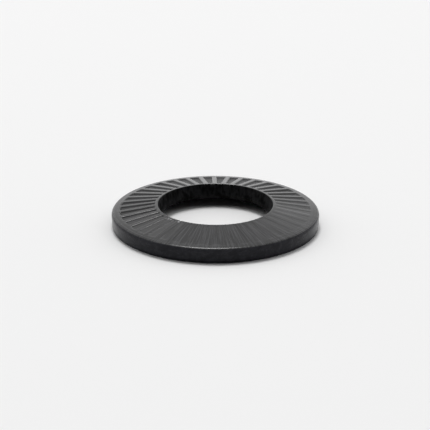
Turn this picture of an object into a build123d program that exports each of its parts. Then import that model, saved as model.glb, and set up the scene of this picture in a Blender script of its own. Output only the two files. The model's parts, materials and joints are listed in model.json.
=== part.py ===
from build123d import *
import os
from math import cos, radians, sin, tan

# A serrated conical spring washer, pressed in one piece from steel strip and blackened.
# It lies as it rests: on its outer lower edge, with the hole standing proud in the middle.
# The frame's origin is the middle of the hole, in the plane the washer lies on, and +Z is up.

# Driving dimensions, in millimetres and degrees
outer_diameter = 20.0
hole_diameter = 10.5  # clears a 10 mm bolt
strip_thickness = 1.45  # square to the face
cone_angle = 10.0  # how steeply the face climbs from the rim to the hole
rim_lean = 3.0  # how far the rim's wall leans out from upright, going up
land_height = 0.50  # upright part of the hole's wall, above its lower corner
hole_flare = 0.30  # how far the rest of that wall leans back before it meets the face

# Rounds of the pressed edges, and the chamfer where the hole was deburred
rim_top_round = 0.32
rim_bottom_round = 0.12
hole_top_round = 0.11
hole_foot_chamfer = 0.10

# Raised radial ribs on the upper face, with a coined pocket between each two
rib_count = 43
rib_width = 0.38  # the same from end to end
first_rib_angle = 90.8  # counted from +X
pocket_depth = 0.15  # square to the face
wall_lean = 28.0  # how far a pocket's walls lean out from upright
rim_margin = 0.76  # smooth band between the pockets and the rim
hole_margin = 0.25  # smooth band between the pockets and the hole

# Values that follow from them
slope = radians(cone_angle)
half_pitch = radians(180 / rib_count)
wall_spread = tan(radians(wall_lean))  # how much wider a pocket gets for each unit of height
# The rim's wall isn't quite square to the face. A rounded corner of the rim reaches less far than
# a sharp one, outwards at the top and downwards at the foot, by these shares of its radius.
rim_lean_angle = radians(rim_lean)
rim_skew = cos(slope - rim_lean_angle)
rim_top_loss = (cos(slope) + sin(rim_lean_angle)) / rim_skew - 1
rim_foot_loss = (sin(slope) + cos(rim_lean_angle)) / rim_skew - 1
rim_radius = outer_diameter / 2
rim_corner_radius = rim_radius + rim_top_round * rim_top_loss
rim_foot_radius = rim_corner_radius - strip_thickness * sin(rim_lean_angle) / rim_skew
hole_radius = hole_diameter / 2
hole_mouth_radius = hole_radius + hole_flare


def underside_height(radius):
    """Height of the underside at a radius, before its edges are rounded."""
    return (rim_foot_radius - radius) * tan(slope) - rim_bottom_round * rim_foot_loss


def face_height(radius):
    """Height of the upper face at a radius, which is parallel to the underside."""
    return underside_height(radius) + strip_thickness / cos(slope)


def finish_corner(section, corner, finish, size):
    """Fillets or chamfers the one corner of the section that lies nearest to a point."""
    vertex = section.vertices().sort_by_distance(Vector(*corner))[0]
    return finish(vertex, size)


def strip_section():
    """Half section through the strip, from the hole's wall out to the rim."""
    hole_foot = (hole_radius, 0, underside_height(hole_radius))
    land_top = (hole_radius, 0, underside_height(hole_radius) + land_height)
    hole_mouth = (hole_mouth_radius, 0, face_height(hole_mouth_radius))
    rim_top = (rim_corner_radius, 0, face_height(rim_corner_radius))
    rim_foot = (rim_foot_radius, 0, underside_height(rim_foot_radius))
    section = make_face(Polyline(hole_foot, land_top, hole_mouth, rim_top, rim_foot, close=True))
    section = finish_corner(section, hole_foot, chamfer, hole_foot_chamfer)
    section = finish_corner(section, hole_mouth, fillet, hole_top_round)
    section = finish_corner(section, rim_top, fillet, rim_top_round)
    return finish_corner(section, rim_foot, fillet, rim_bottom_round)


def pocket_start():
    """Radius where a pocket begins: past the margin, and where the ribs leave it a floor
    at least as wide as the pocket is deep."""
    room_needed = pocket_depth + rib_width + 2 * pocket_depth * wall_spread
    return max(hole_mouth_radius + hole_margin, room_needed / (2 * sin(half_pitch)))


def pocket_corners(height):
    """Corners of a pocket at a height square to its floor, as (along the slope, across, up).

    At pocket_depth up they lie in the face: there the ribs are rib_width wide.
    """
    inset = (pocket_depth - height) * wall_spread
    corners = []
    for radius in (pocket_start() + inset, rim_radius - rim_margin - inset):
        half_width = radius * tan(half_pitch) - (rib_width / 2 + inset) / cos(half_pitch)
        corners += [(radius / cos(slope), side * half_width, height) for side in (-1, 1)]
    return corners


def pocket_cutter():
    """One pocket's cutter, along +X: a flat floor parallel to the face, and leaning walls.

    It is twice as tall as the pocket is deep, so that its top stands clear of the face.
    """
    floor = Plane(
        origin=(0, 0, face_height(0) - pocket_depth / cos(slope)),
        x_dir=(cos(slope), 0, -sin(slope)),
        z_dir=(sin(slope), 0, cos(slope)),
    )
    corners = pocket_corners(0) + pocket_corners(2 * pocket_depth)
    return ConvexPolyhedron([floor.from_local_coords(corner) for corner in corners])


def washer():
    """The whole washer: the revolved strip with a ring of pockets pressed into its face."""
    blank = revolve(strip_section(), Axis.Z)
    cutter = pocket_cutter()
    pitch = 360 / rib_count
    pocket_angles = [first_rib_angle + pitch * (number + 0.5) for number in range(rib_count)]
    return blank - [Rot(Z=angle) * cutter for angle in pocket_angles]


os.makedirs("parts", exist_ok=True)
export_step(washer(), "parts/washer.step")
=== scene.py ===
import bpy
import json
from math import cos, pi, radians, sin, tan
from mathutils import Matrix, Vector


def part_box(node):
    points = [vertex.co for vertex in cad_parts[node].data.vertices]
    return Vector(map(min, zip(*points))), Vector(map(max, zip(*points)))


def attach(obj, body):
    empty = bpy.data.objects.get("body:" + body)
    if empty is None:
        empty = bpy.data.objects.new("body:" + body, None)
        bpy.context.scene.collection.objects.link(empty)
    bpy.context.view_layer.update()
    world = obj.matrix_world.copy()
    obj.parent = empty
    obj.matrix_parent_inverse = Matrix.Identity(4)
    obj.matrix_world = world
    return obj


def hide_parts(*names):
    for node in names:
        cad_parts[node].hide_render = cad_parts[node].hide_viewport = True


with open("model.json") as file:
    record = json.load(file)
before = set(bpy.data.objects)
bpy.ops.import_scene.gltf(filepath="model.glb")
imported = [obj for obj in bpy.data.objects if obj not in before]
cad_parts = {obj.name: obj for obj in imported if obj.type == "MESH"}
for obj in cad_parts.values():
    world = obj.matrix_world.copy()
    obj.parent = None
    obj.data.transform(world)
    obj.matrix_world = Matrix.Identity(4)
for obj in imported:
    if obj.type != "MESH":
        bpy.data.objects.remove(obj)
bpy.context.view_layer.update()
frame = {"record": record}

# A blackened, serrated conical washer lying on a pale studio floor.
# Everything is in metres. The washer's outer radius and its hole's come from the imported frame.

mm = 0.001
um = 0.000001
scene = bpy.context.scene
scene.view_settings.view_transform = "Standard"


# Small helpers for building node trees

def addNode(tree, kind, values=None, **settings):
    node = tree.nodes.new(kind)
    for name, value in settings.items():
        setattr(node, name, value)
    for key, value in (values or {}).items():
        plug(tree, value, node.inputs[key])
    return node


def plug(tree, value, socket):
    if isinstance(value, bpy.types.NodeSocket):
        tree.links.new(value, socket)
    else:
        socket.default_value = value


def calc(tree, operation, first, second=0.0):
    return addNode(tree, "ShaderNodeMath", {0: first, 1: second}, operation=operation).outputs[0]


def calcVector(tree, operation, first, second=None):
    values = {0: first} if second is None else {0: first, 1: second}
    return addNode(tree, "ShaderNodeVectorMath", values, operation=operation)


def wholeCalc(tree, operation, first, second):
    return addNode(tree, "FunctionNodeIntegerMath", {0: first, 1: second}, operation=operation).outputs[0]


def remap(tree, value, fromLow, fromHigh, toLow, toHigh, kind="LINEAR"):
    values = {"Value": value, "From Min": fromLow, "From Max": fromHigh, "To Min": toLow, "To Max": toHigh}
    return addNode(tree, "ShaderNodeMapRange", values, interpolation_type=kind, clamp=True).outputs[0]


# The washer: its radii come from the frame, and the rest of its shape is set here

low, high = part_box("washer")
rimRadius = (high.x - low.x) / 2
holeRadius = frame["record"]["mounts"][0]["dims"]["r_mm"] * mm

washerSizes = {
    # the strip it is pressed from
    "thickness": 1.45 * mm,      # square to the face
    "coneAngle": radians(10),    # how steeply the face climbs to the hole
    "rimLean": radians(3),       # how far the rim's wall leans out as it rises
    "mouthRadius": 5.55 * mm,    # of the hole, at the face
    "landHeight": 0.50 * mm,     # upright part of the hole's wall
    "landRound": 0.30 * mm,      # where the wall starts to lean back
    "holeFootRound": 0.10 * mm,
    "holeTopRound": 0.11 * mm,
    "rimTopRound": 0.32 * mm,
    "rimFootRound": 0.12 * mm,

    # its ribs, and the pockets pressed between them
    "ribCount": 43,
    "firstRibAngle": radians(90.8),
    "ribWidth": 0.38 * mm,
    "pocketDepth": 0.15 * mm,
    "wallRun": 0.15 * mm,        # how far a pocket's wall leans in
    "rimMargin": 0.76 * mm,      # smooth band outside the pockets
    "holeMargin": 0.25 * mm,     # smooth band inside them
    "depthSpread": 0.10,         # how unlike the pockets are, as a share of their depth
    "endSpread": 0.03 * mm,      # and in where they end
    "deepSide": radians(116),    # the tool struck this side hardest
    "deepFacing": 0.30,          # pockets that face it by this cosine or more are full depth
    "shallowFacing": -0.66,      # and those that face it by this or less are shallowest
    "shallowShare": 0.07,        # depth left on the side struck least
    "seed": 7,

    # its wear
    "unevenness": 5 * um,        # soft waviness of the pressed surface
    "waveScale": 600.0,
    "waveDetail": 2.0,
    "nickDepth": 50 * um,        # small dents along the hole's upper edge
    "nickReach": 0.16 * mm,
    "nickStart": radians(219),
    "nickPitch": radians(3.3),
    "nickCount": 6,
    "nickCore": 0.12,            # share of a pitch, each way, where a dent is deepest
    "nickEnd": 0.40,             # and where it has run out
    "nickMean": 0.6,             # the dents' usual share of the full depth
    "nickSpread": 0.5,           # and how far they stray from that
    "bareGlintStart": (1.3, 1.8),     # exposed steel, painted pale to stand in for the glints along the dented edge, comes in, in reaches from the edge
    "bareGlintEnd": (2.2, 3.0),       # and fades out again

    # how finely it is divided
    "roundSteps": 7,
    "landSteps": 3,
    "wallSteps": 8,              # along the rim's wall and the hole's wall
    "undersideSteps": 12,
    "holeMarginSteps": 4,
    "endSteps": 4,               # down each end of a pocket
    "floorSteps": 32,            # along its floor
    "rimMarginSteps": 5,
    "stepsPerRib": 18,
    "ribShare": 0.16,            # of a pitch's steps, from a rib's middle to its edge
    "wallShare": 0.36,           # and to the foot of the pocket's wall
}


# Its section: a closed loop of points, from the hole's foot up over the face and back

def roundedCorner(before, corner, after, radius, steps):
    toBefore = (before - corner).normalized()
    toAfter = (after - corner).normalized()
    halfTurn = toBefore.angle(toAfter) / 2
    middle = corner + (toBefore + toAfter).normalized() * radius / sin(halfTurn)
    start = corner + toBefore * radius / tan(halfTurn) - middle
    end = corner + toAfter * radius / tan(halfTurn) - middle
    ways = [start.slerp(end, step / steps).normalized() for step in range(steps + 1)]
    return [middle + way * radius for way in ways]


def between(first, last, steps):
    return [first.lerp(last, step / steps) for step in range(1, steps)]


def facePoints(inner, outer, pocketStart, pocketEnd):
    # denser where the pockets' ends dip, so that those stay crisp
    wallRun, endSteps = washerSizes["wallRun"], washerSizes["endSteps"]
    stops = [
        (inner.x, 0),
        (pocketStart, washerSizes["holeMarginSteps"]),
        (pocketStart + wallRun, endSteps),
        (pocketEnd - wallRun, washerSizes["floorSteps"]),
        (pocketEnd, endSteps),
        (outer.x, washerSizes["rimMarginSteps"]),
    ]
    points = []
    for (start, _), (end, steps) in zip(stops, stops[1:]):
        points += [start + (end - start) * step / steps for step in range(1, steps + 1)]
    return [inner.lerp(outer, (radius - inner.x) / (outer.x - inner.x)) for radius in points[:-1]]


def sectionCorners():
    # the rim's wall stands nearly upright, and the hole's wall leans back above its land
    slope, lean = washerSizes["coneAngle"], washerSizes["rimLean"]
    spread = cos(slope - lean)
    wall = Vector((sin(lean), cos(lean))) * washerSizes["thickness"] / spread
    # a rounded corner reaches less far than a sharp one, by these shares of its radius
    topLoss = (cos(slope) + sin(lean)) / spread - 1
    footLoss = (sin(slope) + cos(lean)) / spread - 1
    rimTopX = rimRadius + washerSizes["rimTopRound"] * topLoss
    rimFoot = Vector((rimTopX - wall.x, -washerSizes["rimFootRound"] * footLoss))

    def undersideAt(radius):
        return Vector((radius, rimFoot.y + (rimFoot.x - radius) * tan(slope)))

    holeFoot = undersideAt(holeRadius)
    landTop = holeFoot + Vector((0, washerSizes["landHeight"]))
    strip = Vector((0, washerSizes["thickness"] / cos(slope)))
    holeMouth = undersideAt(washerSizes["mouthRadius"]) + strip
    return holeFoot, landTop, holeMouth, rimFoot + wall, rimFoot


def pocketEnds():
    mouthRadius = sectionCorners()[2].x
    return mouthRadius + washerSizes["holeMargin"], rimRadius - washerSizes["rimMargin"]


def sectionLoop():
    holeFoot, landTop, holeMouth, rimTop, rimFoot = sectionCorners()
    steps, landSteps = washerSizes["roundSteps"], washerSizes["landSteps"]
    holeFootArc = roundedCorner(rimFoot, holeFoot, landTop, washerSizes["holeFootRound"], steps)
    landArc = roundedCorner(holeFoot, landTop, holeMouth, washerSizes["landRound"], landSteps)
    mouthArc = roundedCorner(landTop, holeMouth, rimTop, washerSizes["holeTopRound"], steps)
    rimTopArc = roundedCorner(holeMouth, rimTop, rimFoot, washerSizes["rimTopRound"], steps)
    rimFootArc = roundedCorner(rimTop, rimFoot, holeFoot, washerSizes["rimFootRound"], steps)
    land = between(holeFootArc[-1], landArc[0], landSteps)
    holeWall = between(landArc[-1], mouthArc[0], washerSizes["wallSteps"])
    face = facePoints(mouthArc[-1], rimTopArc[0], *pocketEnds())
    rimWall = between(rimTopArc[-1], rimFootArc[0], washerSizes["wallSteps"])
    underside = between(rimFootArc[-1], holeFootArc[0], washerSizes["undersideSteps"])
    half = steps // 2
    edgeNumber, faceNumber, holeNumber = 0, 1, 2
    # each stretch with whether it carries ribs, and the number of its finish
    stretches = [
        (holeFootArc + land + landArc + holeWall + mouthArc[:half], 0, holeNumber),
        (mouthArc[half:], 0, faceNumber),
        (face, 1, faceNumber),
        (rimTopArc[:half + 1], 0, faceNumber),
        (rimTopArc[half + 1:] + rimWall + rimFootArc + underside, 0, edgeNumber),
    ]
    return [(point, ribbed, finish) for points, ribbed, finish in stretches for point in points]


def makeSection():
    loop = sectionLoop()
    count = len(loop)
    mesh = bpy.data.meshes.new("washerSection")
    vertices = [(point.x, 0, point.y) for point, _, _ in loop]
    mesh.from_pydata(vertices, [(n, (n + 1) % count) for n in range(count)], [])
    for column, name in ((1, "ribbed"), (2, "finish")):
        values = mesh.attributes.new(name, "FLOAT", "POINT")
        values.data.foreach_set("value", [row[column] for row in loop])
    section = bpy.data.objects.new("ribbedWasher", mesh)
    scene.collection.objects.link(section)
    return section


# Its tree: the section turned about the hole, with the ribs left standing in its face

def washerInputs():
    mouth = sectionCorners()[2]
    pocketStart, pocketEnd = pocketEnds()
    return [
        ("Section", "Geometry", None),
        ("Rib Count", "Int", washerSizes["ribCount"]),
        ("Steps per Rib", "Int", washerSizes["stepsPerRib"]),
        ("First Rib Angle", "Float", washerSizes["firstRibAngle"]),
        ("Rib Width", "Float", washerSizes["ribWidth"]),
        ("Wall Run", "Float", washerSizes["wallRun"]),
        ("Pocket Depth", "Float", washerSizes["pocketDepth"]),
        ("Pocket Start", "Float", pocketStart),
        ("Pocket End", "Float", pocketEnd),
        ("Cone Angle", "Float", washerSizes["coneAngle"]),
        ("Depth Spread", "Float", washerSizes["depthSpread"]),
        ("End Spread", "Float", washerSizes["endSpread"]),
        ("Deep Side", "Float", washerSizes["deepSide"]),
        ("Shallow Share", "Float", washerSizes["shallowShare"]),
        ("Unevenness", "Float", washerSizes["unevenness"]),
        ("Mouth Radius", "Float", mouth.x),
        ("Mouth Height", "Float", mouth.y),
        ("Nick Depth", "Float", washerSizes["nickDepth"]),
        ("Nick Reach", "Float", washerSizes["nickReach"]),
        ("Nick Start", "Float", washerSizes["nickStart"]),
        ("Nick Pitch", "Float", washerSizes["nickPitch"]),
        ("Nick Count", "Int", washerSizes["nickCount"]),
        ("Seed", "Int", washerSizes["seed"]),
        ("Face Finish", "Material", None),
        ("Edge Finish", "Material", None),
        ("Hole Finish", "Material", None),
    ]


def addInputs(tree, rows):
    sockets = {}
    for name, kind, value in rows:
        item = tree.interface.new_socket(name=name, in_out="INPUT", socket_type="NodeSocket" + kind)
        if value is not None:
            item.default_value = value
        sockets[name] = item.identifier
    return sockets


def sampleSection(tree, section, value, index, kind):
    values = {"Geometry": section, "Value": value, "Index": index}
    node = addNode(tree, "GeometryNodeSampleIndex", values, data_type=kind, domain="POINT")
    return node.outputs["Value"]


def namedValue(tree, name):
    return addNode(tree, "GeometryNodeInputNamedAttribute", {"Name": name}, data_type="FLOAT").outputs[0]


def randomSpread(tree, spread, itemNumber, seed):
    # up to the spread either way; the node's inputs here are its least, most, item and seed
    values = {2: calc(tree, "MULTIPLY", spread, -1.0), 3: spread, 7: itemNumber, 8: seed}
    return addNode(tree, "FunctionNodeRandomValue", values, data_type="FLOAT").outputs[1]


def plainRing(tree, given, sectionCount):
    # a ring of quads with as many turns and section points as are needed
    turns = wholeCalc(tree, "MULTIPLY", given["Rib Count"], given["Steps per Rib"])
    around = addNode(tree, "GeometryNodeCurvePrimitiveCircle", {"Resolution": turns}, mode="RADIUS")
    across = addNode(tree, "GeometryNodeCurvePrimitiveCircle", {"Resolution": sectionCount}, mode="RADIUS")
    curves = {"Curve": around.outputs[0], "Profile Curve": across.outputs[0]}
    return addNode(tree, "GeometryNodeCurveToMesh", curves).outputs[0]


def turnAngle(tree, given, radius, ribNumber, step):
    # steps bunch up on a pocket's wall, so the ribs keep one width from end to end
    ribShare, wallShare = washerSizes["ribShare"], washerSizes["wallShare"]
    share = calc(tree, "DIVIDE", step, given["Steps per Rib"])
    offMiddle = calc(tree, "ABSOLUTE", calc(tree, "SUBTRACT", share, 0.5))
    nearness = calc(tree, "SUBTRACT", 0.5, offMiddle)  # 0 in a rib's middle, 0.5 in a pocket's
    halfRib = calc(tree, "DIVIDE", given["Rib Width"], 2.0)
    halfPitch = calc(tree, "DIVIDE", calc(tree, "MULTIPLY", radius, pi), given["Rib Count"])
    halfFloor = calc(tree, "SUBTRACT", calc(tree, "SUBTRACT", halfPitch, halfRib), given["Wall Run"])
    onRib = remap(tree, nearness, 0.0, ribShare, 0.0, halfRib)
    onWall = remap(tree, nearness, ribShare, wallShare, 0.0, given["Wall Run"])
    onFloor = remap(tree, nearness, wallShare, 0.5, 0.0, halfFloor)
    sideways = calc(tree, "ADD", calc(tree, "ADD", onRib, onWall), onFloor)
    pastMiddle = calc(tree, "GREATER_THAN", share, 0.4999)  # so that the middle step counts as past
    direction = remap(tree, pastMiddle, 0.0, 1.0, 1.0, -1.0)
    nearestRib = calc(tree, "ADD", ribNumber, pastMiddle)
    pitchAngle = calc(tree, "DIVIDE", 2 * pi, given["Rib Count"])
    ribAngle = calc(tree, "ADD", calc(tree, "MULTIPLY", nearestRib, pitchAngle), given["First Rib Angle"])
    turn = calc(tree, "DIVIDE", calc(tree, "MULTIPLY", sideways, direction), radius)
    return calc(tree, "ADD", ribAngle, turn), nearness


def pocketShare(tree, given, radius, nearness, ribNumber):
    # 1 on a pocket's floor, falling to 0 up its walls and ends, with no two pockets quite alike
    endShift = randomSpread(tree, given["End Spread"], ribNumber, given["Seed"])
    start = calc(tree, "ADD", given["Pocket Start"], endShift)
    end = calc(tree, "ADD", given["Pocket End"], endShift)
    fromStart = calc(tree, "SUBTRACT", radius, start)
    fromEnd = calc(tree, "SUBTRACT", end, radius)
    wallFoot, wallTop = washerSizes["wallShare"], washerSizes["ribShare"]
    downStart = remap(tree, fromStart, 0.0, given["Wall Run"], 0.0, 1.0, "SMOOTHSTEP")
    downEnd = remap(tree, fromEnd, 0.0, given["Wall Run"], 0.0, 1.0, "SMOOTHSTEP")
    downSide = remap(tree, nearness, wallTop, wallFoot, 0.0, 1.0, "SMOOTHSTEP")
    return calc(tree, "MINIMUM", calc(tree, "MINIMUM", downStart, downEnd), downSide)


def struckShare(tree, given, angle):
    # the pockets are full depth on the side struck hardest and shallower opposite
    facing = calc(tree, "COSINE", calc(tree, "SUBTRACT", angle, given["Deep Side"]))
    shallowFacing, deepFacing = washerSizes["shallowFacing"], washerSizes["deepFacing"]
    return remap(tree, facing, shallowFacing, deepFacing, given["Shallow Share"], 1.0, "SMOOTHSTEP")


def nicks(tree, given, radius, height, angle):
    # a short run of dents on the hole's upper edge, each pushed back by its own amount,
    # and a ring of exposed steel a little way off them, which the face's finish paints pale as a stand-in for
    # the glints there
    offRadius = calc(tree, "SUBTRACT", radius, given["Mouth Radius"])
    offHeight = calc(tree, "SUBTRACT", height, given["Mouth Height"])
    square = calc(tree, "ADD", calc(tree, "POWER", offRadius, 2.0), calc(tree, "POWER", offHeight, 2.0))
    distance = calc(tree, "SQRT", square)
    near = remap(tree, distance, 0.0, given["Nick Reach"], 1.0, 0.0, "SMOOTHSTEP")
    reaches = calc(tree, "DIVIDE", distance, given["Nick Reach"])
    comingIn = remap(tree, reaches, *washerSizes["bareGlintStart"], 0.0, 1.0)
    fadingOut = remap(tree, reaches, *washerSizes["bareGlintEnd"], 1.0, 0.0)
    bareGlintRing = calc(tree, "MULTIPLY", comingIn, fadingOut)

    cell = calc(tree, "DIVIDE", calc(tree, "SUBTRACT", angle, given["Nick Start"]), given["Nick Pitch"])
    number = calc(tree, "FLOOR", cell)
    inCell = calc(tree, "SUBTRACT", cell, number)
    offMiddle = calc(tree, "ABSOLUTE", calc(tree, "SUBTRACT", inCell, 0.5))
    dent = remap(tree, offMiddle, washerSizes["nickCore"], washerSizes["nickEnd"], 1.0, 0.0, "SMOOTHSTEP")
    stray = randomSpread(tree, washerSizes["nickSpread"], number, given["Seed"])
    share = calc(tree, "ADD", stray, washerSizes["nickMean"])
    inRun = calc(tree, "MULTIPLY", calc(tree, "GREATER_THAN", cell, 0.0),
                 calc(tree, "LESS_THAN", cell, given["Nick Count"]))
    amount = calc(tree, "MULTIPLY", calc(tree, "MULTIPLY", dent, share), inRun)
    push = calc(tree, "MULTIPLY", calc(tree, "MULTIPLY", given["Nick Depth"], near), amount)
    return push, calc(tree, "MULTIPLY", bareGlintRing, amount)


def unevenSurface(tree, geometry, given):
    # soft waviness all over, along the surface's own normal and only inwards
    position = addNode(tree, "GeometryNodeInputPosition").outputs[0]
    normal = addNode(tree, "GeometryNodeInputNormal").outputs[0]
    noise = {"Vector": position, "W": given["Seed"],
             "Scale": washerSizes["waveScale"], "Detail": washerSizes["waveDetail"]}
    waves = addNode(tree, "ShaderNodeTexNoise", noise, noise_dimensions="4D")
    lift = calc(tree, "MULTIPLY", calc(tree, "SUBTRACT", waves.outputs[0], 1.0), given["Unevenness"])
    push = calcVector(tree, "SCALE", normal)
    plug(tree, lift, push.inputs["Scale"])
    moved = {"Geometry": geometry, "Offset": push.outputs[0]}
    return addNode(tree, "GeometryNodeSetPosition", moved).outputs[0]


def storeMarks(tree, geometry, marks):
    # kept at each point, for the finishes and for the choice between them
    for name, value in marks.items():
        stored = {"Geometry": geometry, "Name": name, "Value": value}
        geometry = addNode(tree, "GeometryNodeStoreNamedAttribute", stored,
                           data_type="FLOAT", domain="POINT").outputs[0]
    return geometry


def layFinishes(tree, geometry, given):
    # a quad's number is the mean of its corners', and a finish takes the quads above its threshold
    for name, threshold in (("Edge Finish", -0.5), ("Face Finish", 0.5), ("Hole Finish", 1.4)):
        chosen = calc(tree, "GREATER_THAN", namedValue(tree, "finish"), threshold)
        finished = {"Geometry": geometry, "Selection": chosen, "Material": given[name]}
        geometry = addNode(tree, "GeometryNodeSetMaterial", finished).outputs[0]
    return geometry


def buildWasherTree():
    tree = bpy.data.node_groups.new("ribbedWasher", "GeometryNodeTree")
    sockets = addInputs(tree, washerInputs())
    tree.interface.new_socket(name="Washer", in_out="OUTPUT", socket_type="NodeSocketGeometry")
    given = addNode(tree, "NodeGroupInput").outputs
    out = addNode(tree, "NodeGroupOutput")
    section = given["Section"]
    sectionSize = addNode(tree, "GeometryNodeAttributeDomainSize", {0: section}, component="MESH")
    sectionCount = sectionSize.outputs["Point Count"]
    ring = plainRing(tree, given, sectionCount)

    # which rib, which step of its pitch, and which point of the section
    index = addNode(tree, "GeometryNodeInputIndex").outputs[0]
    turn = wholeCalc(tree, "DIVIDE_FLOOR", index, sectionCount)
    sectionIndex = wholeCalc(tree, "MODULO", index, sectionCount)
    ribNumber = wholeCalc(tree, "DIVIDE_FLOOR", turn, given["Steps per Rib"])
    step = wholeCalc(tree, "MODULO", turn, given["Steps per Rib"])
    position = addNode(tree, "GeometryNodeInputPosition").outputs[0]
    place = sampleSection(tree, section, position, sectionIndex, "FLOAT_VECTOR")
    ribbed = sampleSection(tree, section, namedValue(tree, "ribbed"), sectionIndex, "FLOAT")
    finish = sampleSection(tree, section, namedValue(tree, "finish"), sectionIndex, "FLOAT")
    parts = addNode(tree, "ShaderNodeSeparateXYZ", {0: place})
    radius, height = parts.outputs[0], parts.outputs[2]

    # how deep the point is pressed, square to the face, and how far a dent pushes it back
    angle, nearness = turnAngle(tree, given, radius, ribNumber, step)
    inPocket = calc(tree, "MULTIPLY", pocketShare(tree, given, radius, nearness, ribNumber), ribbed)
    struck = struckShare(tree, given, angle)
    depthShare = calc(tree, "ADD", randomSpread(tree, given["Depth Spread"], ribNumber, given["Seed"]), 1.0)
    depth = calc(tree, "MULTIPLY", calc(tree, "MULTIPLY", given["Pocket Depth"], depthShare), inPocket)
    depth = calc(tree, "MULTIPLY", depth, struck)
    # the second value is the ring of exposed steel that the face's finish paints pale as a glint
    nick, bare = nicks(tree, given, radius, height, angle)
    inward = calc(tree, "MULTIPLY", depth, calc(tree, "SINE", given["Cone Angle"]))
    downward = calc(tree, "MULTIPLY", depth, calc(tree, "COSINE", given["Cone Angle"]))
    radius = calc(tree, "ADD", calc(tree, "SUBTRACT", radius, inward), nick)
    height = calc(tree, "SUBTRACT", calc(tree, "SUBTRACT", height, downward), nick)

    turned = addNode(tree, "ShaderNodeCombineXYZ", {
        0: calc(tree, "MULTIPLY", radius, calc(tree, "COSINE", angle)),
        1: calc(tree, "MULTIPLY", radius, calc(tree, "SINE", angle)),
        2: height,
    })
    placed = {"Geometry": ring, "Position": turned.outputs[0]}
    geometry = addNode(tree, "GeometryNodeSetPosition", placed).outputs[0]
    coined = remap(tree, struck, *faceFinish["coinedDepth"], 0.0, 1.0)
    pocket = calc(tree, "MULTIPLY", inPocket, coined)
    geometry = storeMarks(tree, geometry, {"pocket": pocket, "finish": finish, "bare": bare})
    geometry = unevenSurface(tree, geometry, given)
    geometry = addNode(tree, "GeometryNodeSetShadeSmooth", {"Geometry": geometry}).outputs[0]
    geometry = addNode(tree, "GeometryNodeRealizeInstances", {0: geometry}).outputs[0]
    plug(tree, layFinishes(tree, geometry, given), out.inputs[0])
    return tree, sockets


def makeWasher(**finishes):
    print("turning the washer and pressing its ribs")
    washer = makeSection()
    tree, sockets = buildWasherTree()
    modifier = washer.modifiers.new("ribbedWasher", "NODES")
    modifier.node_group = tree
    modifier[sockets["Face Finish"]] = finishes["face"]
    modifier[sockets["Edge Finish"]] = finishes["edge"]
    modifier[sockets["Hole Finish"]] = finishes["hole"]
    bpy.context.view_layer.update()
    evaluated = washer.evaluated_get(bpy.context.evaluated_depsgraph_get())
    mesh = bpy.data.meshes.new_from_object(evaluated)
    washer.modifiers.remove(modifier)
    washer.data = mesh
    print("washer:", len(mesh.vertices), "points,", len(mesh.polygons), "faces")
    return washer


# Finishes: black oxide on steel. A pair of noise scales is round the hole, and across or up.

faceFinish = {
    "ribColour": (0.005, 0.005, 0.0055, 1),
    "pocketColour": (0.015, 0.015, 0.015, 1),
    "pocketEdge": 0.3,           # share of its depth from which a pocket has its own finish
    "coinedDepth": (0.10, 0.45),  # and how deep it is struck where that starts and is full
    "streakColour": (0.040, 0.040, 0.043, 1),
    "streakPart": (0.40, 0.68),  # of the noise, where the streaks come in
    "bareColour": (0.26, 0.26, 0.27, 1),  # steel where the dents broke the black, its pale colour partly a painted highlight standing in for the glints there
    "bareSteelGlintPart": (0.10, 0.40),    # of its mark, where the steel and its painted glint come in
    "ribRoughness": 0.11,
    "pocketRoughness": 0.52,
    "streakRoughness": 0.05,     # added and taken away along the streaks
    "rimRoughness": 0.18,        # added on the rim's round
    "rimRound": (0.50 * mm, 0.15 * mm),  # in from the rim, where that starts and is full
    "marginLines": 1.2,          # how much of the rings shows as pale lines on the rim's margin
    "marginBand": (0.9 * mm, 0.6 * mm),  # in from the rim, where they start and are full
    "gloss": 1.385,              # index of refraction
    "streakScales": (60.0, 350.0),
    "ringScales": (1.5, 9000.0),
    "grainScale": 15000.0,
    "streakDetail": 4.0,
    "grainDetail": 2.0,
    "streakBump": 1.6 * um,
    "ringBump": 1.6 * um,
    "grainBump": 0.8 * um,
}

edgeFinish = {
    "colour": (0.009, 0.009, 0.0125, 1),
    "paleColour": (0.019, 0.019, 0.024, 1),
    "roughness": 0.24,
    "gloss": 1.24,
    "bandScales": (14.0, 2500.0),
    "blotchScale": 2000.0,
    "grainScale": 8000.0,
    "grainBump": 1.2 * um,
}

holeFinish = {
    "colour": (0.001, 0.001, 0.001, 1),
    "paleColour": (0.018, 0.018, 0.019, 1),
    "roughness": 0.50,
    "gloss": 1.10,
    "bandScales": (22.0, 1500.0),
    "blotchScale": 1250.0,
    "grainScale": 5000.0,
    "grainBump": 5 * um,
}

wallPatches = {                  # the same on the rim's wall and the hole's
    "palePart": (0.85, 1.15),    # of bands and blotches together, where the pale colour comes in
    "blotchDetail": 2.0,
    "bandRoughness": 0.05,       # added and taken away along the bands
    "grainRoughness": 0.04,      # and with the grain
}


def newMaterial(name):
    material = bpy.data.materials.new(name)
    material.use_nodes = True
    tree = material.node_tree
    return material, tree, tree.nodes["Principled BSDF"]


def aboutHole(tree):
    # the way out from the hole's axis, the distance from it, and the height
    place = addNode(tree, "ShaderNodeTexCoord").outputs["Object"]
    parts = addNode(tree, "ShaderNodeSeparateXYZ", {0: place})
    flat = addNode(tree, "ShaderNodeCombineXYZ", {0: parts.outputs[0], 1: parts.outputs[1]}).outputs[0]
    way = calcVector(tree, "NORMALIZE", flat).outputs[0]
    radius = calcVector(tree, "LENGTH", flat).outputs["Value"]
    return place, way, radius, parts.outputs[2]


def mark(tree, name):
    return addNode(tree, "ShaderNodeAttribute", attribute_name=name).outputs["Fac"]


def plainNoise(tree, place, scale, detail=3.0):
    return addNode(tree, "ShaderNodeTexNoise", {"Vector": place, "Scale": scale, "Detail": detail}).outputs[0]


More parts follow.
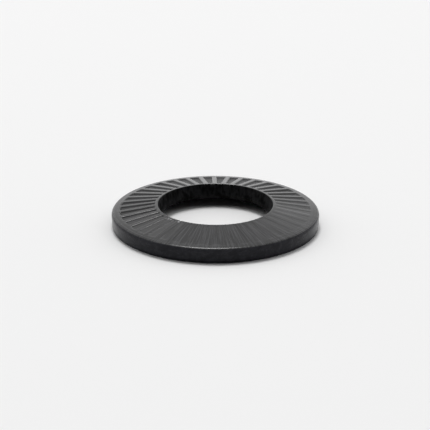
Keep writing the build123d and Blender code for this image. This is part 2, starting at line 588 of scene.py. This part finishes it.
def stretchedNoise(tree, way, along, scales, detail=3.0):
    # noise that runs round the hole at one scale and across or up at another, with no seam
    aroundScale, alongScale = scales
    turned = calcVector(tree, "MULTIPLY", way, (aroundScale, aroundScale, 0))
    shift = addNode(tree, "ShaderNodeCombineXYZ", {2: calc(tree, "MULTIPLY", along, alongScale)})
    place = calcVector(tree, "ADD", turned.outputs[0], shift.outputs[0])
    return plainNoise(tree, place.outputs[0], 1.0, detail)


def vary(tree, noise, amount):
    # either way by the amount; nearly all of a noise lies from 0.3 to 0.7
    return remap(tree, noise, 0.3, 0.7, -amount, amount)


def towardsRim(tree, radius, band, most):
    start, full = band
    return remap(tree, radius, rimRadius - start, rimRadius - full, 0.0, most)


def mixColours(tree, share, first, second):
    # the node's colours are its inputs 6 and 7 and its output 2
    return addNode(tree, "ShaderNodeMix", {0: share, 6: first, 7: second}, data_type="RGBA").outputs[2]


def bumps(tree, shader, layers):
    normal = None
    for height, distance in layers:
        bump = addNode(tree, "ShaderNodeBump", {"Height": height, "Distance": distance, "Strength": 1.0})
        if normal:
            plug(tree, normal, bump.inputs["Normal"])
        normal = bump.outputs[0]
    plug(tree, normal, shader.inputs["Normal"])


def makeFaceFinish():
    print("mixing the face's finish")
    finish = faceFinish
    material, tree, shader = newMaterial("blackenedFace")
    place, way, radius, _ = aboutHole(tree)
    streaks = stretchedNoise(tree, way, radius, finish["streakScales"], finish["streakDetail"])
    rings = stretchedNoise(tree, way, radius, finish["ringScales"])
    grain = plainNoise(tree, place, finish["grainScale"], finish["grainDetail"])
    pocket = remap(tree, mark(tree, "pocket"), 0.0, finish["pocketEdge"], 0.0, 1.0)

    # pockets, then streaks and the rim margin's lines, then exposed steel with its painted glint
    colour = mixColours(tree, pocket, finish["ribColour"], finish["pocketColour"])
    onMargin = towardsRim(tree, radius, finish["marginBand"], finish["marginLines"])
    lines = calc(tree, "MULTIPLY", calc(tree, "SUBTRACT", rings, 0.5), onMargin)
    pale = remap(tree, calc(tree, "ADD", streaks, lines), *finish["streakPart"], 0.0, 1.0)
    colour = mixColours(tree, pale, colour, finish["streakColour"])
    # painted highlight: the exposed steel by the dents is coloured paler than steel alone would be, to stand
    # in for its glints
    bare = remap(tree, mark(tree, "bare"), *finish["bareSteelGlintPart"], 0.0, 1.0)
    colour = mixColours(tree, bare, colour, finish["bareColour"])
    plug(tree, colour, shader.inputs["Base Color"])

    rough = remap(tree, pocket, 0.0, 1.0, finish["ribRoughness"], finish["pocketRoughness"])
    rough = calc(tree, "ADD", rough, vary(tree, streaks, finish["streakRoughness"]))
    rimward = towardsRim(tree, radius, finish["rimRound"], finish["rimRoughness"])
    plug(tree, calc(tree, "ADD", rough, rimward), shader.inputs["Roughness"])
    shader.inputs["IOR"].default_value = finish["gloss"]
    bumps(tree, shader, [(streaks, finish["streakBump"]), (rings, finish["ringBump"]),
                         (grain, finish["grainBump"])])
    return material


def makeWallFinish(name, finish):
    print("mixing", name)
    material, tree, shader = newMaterial(name)
    place, way, _, height = aboutHole(tree)
    grain = plainNoise(tree, place, finish["grainScale"])
    bands = stretchedNoise(tree, way, height, finish["bandScales"])
    blotches = plainNoise(tree, place, finish["blotchScale"], wallPatches["blotchDetail"])
    patches = remap(tree, calc(tree, "ADD", bands, blotches), *wallPatches["palePart"], 0.0, 1.0)
    colour = mixColours(tree, patches, finish["colour"], finish["paleColour"])
    plug(tree, colour, shader.inputs["Base Color"])
    rough = calc(tree, "ADD", finish["roughness"], vary(tree, bands, wallPatches["bandRoughness"]))
    rough = calc(tree, "ADD", rough, vary(tree, grain, wallPatches["grainRoughness"]))
    plug(tree, rough, shader.inputs["Roughness"])
    shader.inputs["IOR"].default_value = finish["gloss"]
    bumps(tree, shader, [(grain, finish["grainBump"])])
    return material


# The studio

studio = {
    "floorSize": 1.6,
    "floorColour": (0.86, 0.86, 0.86, 1),
    "floorRoughness": 0.9,
    "skySeen": 0.913,            # what the camera sees
    "skyMirrored": 1.0,          # and what reflections see
    "skyBehind": 1.0,            # soft light from the half of the room behind the washer
    "skyFront": 0.02,            # and from the half on the camera's side
    "skyTurn": (-0.3, 0.15),     # from front to back, where the one gives way to the other
    "glowBehind": 1.5,           # low light all round, strongest behind too
    "glowFront": 0.4,
    "glowTurn": (-0.5, 0.5),
    "glowHeight": (0.02, 0.22),  # up from the horizon, where it starts to fade and is gone
    "keyElevation": radians(67),
    "keyAzimuth": radians(98),   # from +X; 90 is straight behind the washer
    "keyDistance": 1.20,
    "keySize": 0.38,
    "keyWatts": 7.5,
}

camera = {
    "elevation": 0.369,          # in radians, as the roll is
    "roll": 0.0030,
    "distance": 285.7 * mm,
    "pixelsPerRim": 103.6,       # of the photograph, for the outer radius at the axis
    "axisPixel": (215.35, 225.14),
    "frameWidth": 430,           # and height, in its pixels
    "sensor": 36.0,              # in millimetres
    "nearest": 1 * mm,           # seen
}


def makeFloor():
    print("laying the floor")
    half = studio["floorSize"] / 2
    mesh = bpy.data.meshes.new("studioFloor")
    corners = [(-half, -half, 0), (half, -half, 0), (half, half, 0), (-half, half, 0)]
    mesh.from_pydata(corners, [], [(0, 1, 2, 3)])
    floor = bpy.data.objects.new("studioFloor", mesh)
    scene.collection.objects.link(floor)
    material, _, shader = newMaterial("paleFloor")
    shader.inputs["Base Color"].default_value = studio["floorColour"]
    shader.inputs["Roughness"].default_value = studio["floorRoughness"]
    shader.inputs["Specular IOR Level"].default_value = 0.0
    mesh.materials.append(material)


def makeSky():
    print("lighting the room")
    world = bpy.data.worlds.new("studioSky")
    world.use_nodes = True
    scene.world = world
    tree = world.node_tree
    direction = addNode(tree, "ShaderNodeTexCoord").outputs["Generated"]
    parts = addNode(tree, "ShaderNodeSeparateXYZ", {0: direction})
    backward, offHorizon = parts.outputs[1], calc(tree, "ABSOLUTE", parts.outputs[2])
    soft = remap(tree, backward, *studio["skyTurn"], studio["skyFront"], studio["skyBehind"], "SMOOTHSTEP")
    low = remap(tree, offHorizon, *studio["glowHeight"], 1.0, 0.0)
    glow = remap(tree, backward, *studio["glowTurn"], studio["glowFront"], studio["glowBehind"])
    glow = calc(tree, "MULTIPLY", low, glow)
    rays = addNode(tree, "ShaderNodeLightPath").outputs
    mirrored = calc(tree, "MAXIMUM", rays["Is Glossy Ray"], rays["Is Transmission Ray"])
    seen = calc(tree, "MAXIMUM", rays["Is Camera Ray"], mirrored)
    shown = remap(tree, mirrored, 0.0, 1.0, studio["skySeen"], studio["skyMirrored"])
    choice = {0: seen, 2: calc(tree, "ADD", soft, glow), 3: shown}  # 2 and 3 are its plain numbers
    strength = addNode(tree, "ShaderNodeMix", choice, data_type="FLOAT").outputs[0]
    background = tree.nodes["Background"]
    plug(tree, strength, background.inputs["Strength"])
    background.inputs["Color"].default_value = (1, 1, 1, 1)


def makeKeyLight():
    print("hanging the softbox")
    light = bpy.data.lights.new("softbox", "AREA")
    light.shape = "DISK"
    light.size = studio["keySize"]
    light.energy = studio["keyWatts"]
    lamp = bpy.data.objects.new("softbox", light)
    elevation, azimuth = studio["keyElevation"], studio["keyAzimuth"]
    way = Vector((cos(azimuth) * cos(elevation), sin(azimuth) * cos(elevation), sin(elevation)))
    lamp.location = way * studio["keyDistance"]
    lamp.rotation_euler = way.to_track_quat("Z", "Y").to_euler()
    scene.collection.objects.link(lamp)


def makeCamera():
    print("setting the camera")
    data = bpy.data.cameras.new("camera")
    tilt, width = camera["elevation"], camera["frameWidth"]
    focalPixels = camera["pixelsPerRim"] * camera["distance"] / rimRadius
    data.lens = focalPixels * camera["sensor"] / width
    data.sensor_width = camera["sensor"]
    data.clip_start = camera["nearest"]
    data.shift_x = (width / 2 - camera["axisPixel"][0]) / width
    data.shift_y = (camera["axisPixel"][1] - width / 2) / width
    eye = bpy.data.objects.new("camera", data)
    aim = Matrix.Rotation(pi / 2 - tilt, 4, "X") @ Matrix.Rotation(camera["roll"], 4, "Z")
    spot = Vector((0, -cos(tilt), sin(tilt))) * camera["distance"]
    eye.matrix_world = Matrix.Translation(spot) @ aim
    scene.collection.objects.link(eye)
    scene.camera = eye


makeCamera()
makeSky()
makeKeyLight()
makeFloor()
washer = makeWasher(
    face=makeFaceFinish(),
    edge=makeWallFinish("blackenedEdge", edgeFinish),
    hole=makeWallFinish("blackenedHole", holeFinish),
)
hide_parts("washer")
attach(washer, "root")
